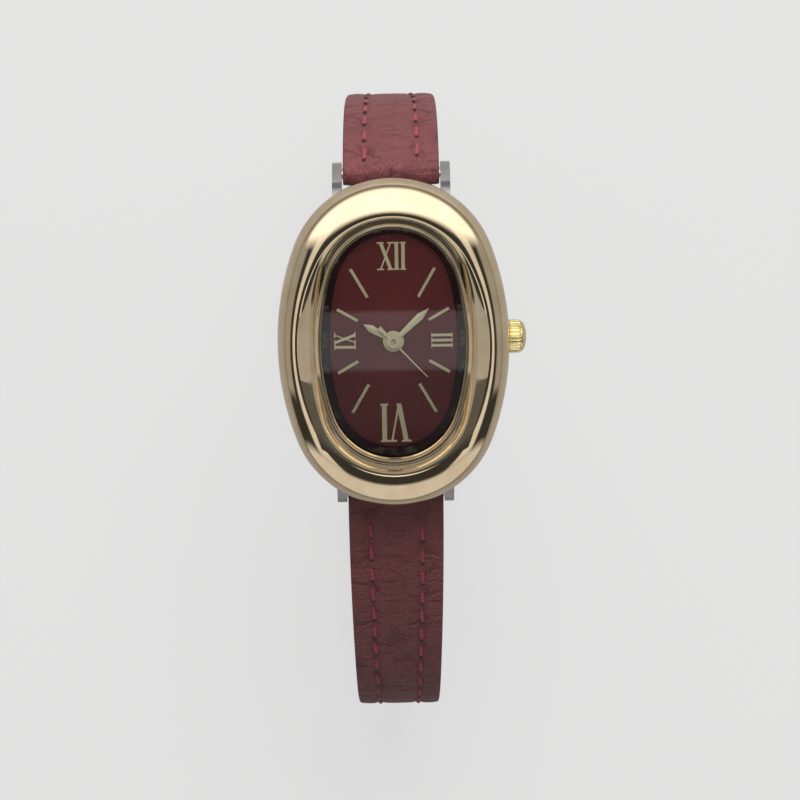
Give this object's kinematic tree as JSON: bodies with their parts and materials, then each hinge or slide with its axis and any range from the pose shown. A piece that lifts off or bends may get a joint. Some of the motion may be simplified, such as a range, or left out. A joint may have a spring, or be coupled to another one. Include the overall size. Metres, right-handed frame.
{
  "type": "oval quartz wristwatch",
  "caption": "Oval gold-tone wristwatch with burgundy dial, Roman numerals and stitched burgundy leather strap, buckled into a closed loop",
  "frame": {"origin": "centre of the flat outer face of the case back", "axes": "+Z out of the dial, +Y to 12 o'clock, +X to the crown at 3 o'clock"},
  "size_m": [0.0261, 0.0698, 0.0519],
  "materials": {
    "champagne_gold": "polished champagne gold plating",
    "yellow_gold": "polished yellow gold plating",
    "polished_steel": "polished stainless steel",
    "brushed_steel": "fine brushed stainless steel",
    "mineral_glass": "clear flat mineral glass",
    "burgundy_leather": "pebbled burgundy leather",
    "burgundy_dial": "sunray burgundy lacquer",
    "black_ring": "satin black",
    "white_plastic": "moulded",
    "seal_rubber": "soft seal",
    "plate_brass": "stamped",
    "copper_wire": "enamelled copper winding on an iron core",
    "board_green": "coated board"
  },
  "bodies": {
    "watch": {"bezel": "champagne_gold", "hour_batons": "yellow_gold", "roman_numerals": "yellow_gold", "case_middle": "polished_steel", "crown_tube": "polished_steel", "lug_bar_upper": "polished_steel", "lug_bar_lower": "polished_steel", "buckle_bar": "polished_steel", "bridge_screws": "polished_steel", "battery_clamp": "polished_steel", "quartz_resonator": "polished_steel", "case_back": "brushed_steel", "battery": "brushed_steel", "stator": "brushed_steel", "crystal": "mineral_glass", "strap_upper": "burgundy_leather", "strap_lower": "burgundy_leather", "fixed_keeper": "burgundy_leather", "dial": "burgundy_dial", "rehaut_ring": "black_ring", "movement_holder": "white_plastic", "crystal_gasket": "seal_rubber", "case_back_gasket": "seal_rubber", "main_plate": "plate_brass", "train_bridge": "plate_brass", "motor_coil": "copper_wire", "circuit_board": "board_green"},
    "seconds": {"seconds_hand": "yellow_gold", "seconds_wheel": "white_plastic"},
    "minutes": {"minute_hand": "yellow_gold", "centre_wheel": "plate_brass"},
    "hours": {"hour_hand": "yellow_gold", "hour_wheel": "white_plastic"},
    "motion_work": {"minute_wheel": "white_plastic"},
    "third": {"third_wheel": "white_plastic"},
    "intermediate": {"intermediate_wheel": "white_plastic"},
    "motor_rotor": {"rotor": "brushed_steel"},
    "crown_sleeve": {"crown_gasket": "seal_rubber"},
    "crown_and_stem": {"crown": "yellow_gold", "winding_stem": "polished_steel"},
    "buckle": {"buckle_frame": "champagne_gold"},
    "tongue": {"buckle_tongue": "champagne_gold"},
    "sliding_keeper": {"free_keeper": "burgundy_leather"}
  },
  "joints": [
    {"name": "seconds_turn", "type": "hinge", "parent": "watch", "child": "seconds", "pos_m": [0, 0, 0.004], "axis": [0, 0, -1], "continuous": true},
    {"name": "minutes_turn", "type": "hinge", "parent": "watch", "child": "minutes", "pos_m": [0, 0, 0.004], "axis": [0, 0, -1], "continuous": true},
    {"name": "hours_turn", "type": "hinge", "parent": "watch", "child": "hours", "pos_m": [0, 0, 0.004], "axis": [0, 0, -1], "continuous": true},
    {"name": "motion_work_turn", "type": "hinge", "parent": "watch", "child": "motion_work", "pos_m": [0.00128, 0.00107, 0.003], "axis": [0, 0, -1], "continuous": true},
    {"name": "third_turn", "type": "hinge", "parent": "watch", "child": "third", "pos_m": [-0.00082, 0.00155, 0.002], "axis": [0, 0, -1], "continuous": true},
    {"name": "intermediate_turn", "type": "hinge", "parent": "watch", "child": "intermediate", "pos_m": [0.00169, -0.00097, 0.002], "axis": [0, 0, -1], "continuous": true},
    {"name": "rotor_turn", "type": "hinge", "parent": "watch", "child": "motor_rotor", "pos_m": [0.00242, -0.00234, 0.002], "axis": [0, 0, -1], "continuous": true},
    {"name": "crown_pull", "type": "slide", "parent": "watch", "child": "crown_sleeve", "axis": [1, 0, 0], "range_m": [0, 0.0008]},
    {"name": "crown_turn", "type": "hinge", "parent": "crown_sleeve", "child": "crown_and_stem", "pos_m": [0.0125, 0, 0.0019], "axis": [1, 0, 0], "continuous": true},
    {"name": "buckle_swing", "type": "hinge", "parent": "watch", "child": "buckle", "pos_m": [0, -0.01036, -0.03983], "axis": [-1, 0, 0], "range_deg": [0, 1.5]},
    {"name": "tongue_swing", "type": "hinge", "parent": "watch", "child": "tongue", "pos_m": [0, -0.01036, -0.03983], "axis": [1, 0, 0], "range_deg": [0, 2.5]},
    {"name": "keeper_slide", "type": "slide", "parent": "watch", "child": "sliding_keeper", "axis": [0, 1, 0], "range_m": [-0.006, 0.002]}
  ],
  "couplings": [
    {"joint": "minutes_turn", "follows": "seconds_turn", "ratio": 0.016667},
    {"joint": "hours_turn", "follows": "seconds_turn", "ratio": 0.0013889},
    {"joint": "third_turn", "follows": "seconds_turn", "ratio": -0.13333},
    {"joint": "motion_work_turn", "follows": "seconds_turn", "ratio": -0.0055556},
    {"joint": "intermediate_turn", "follows": "seconds_turn", "ratio": -5},
    {"joint": "rotor_turn", "follows": "seconds_turn", "ratio": 30}
  ]
}
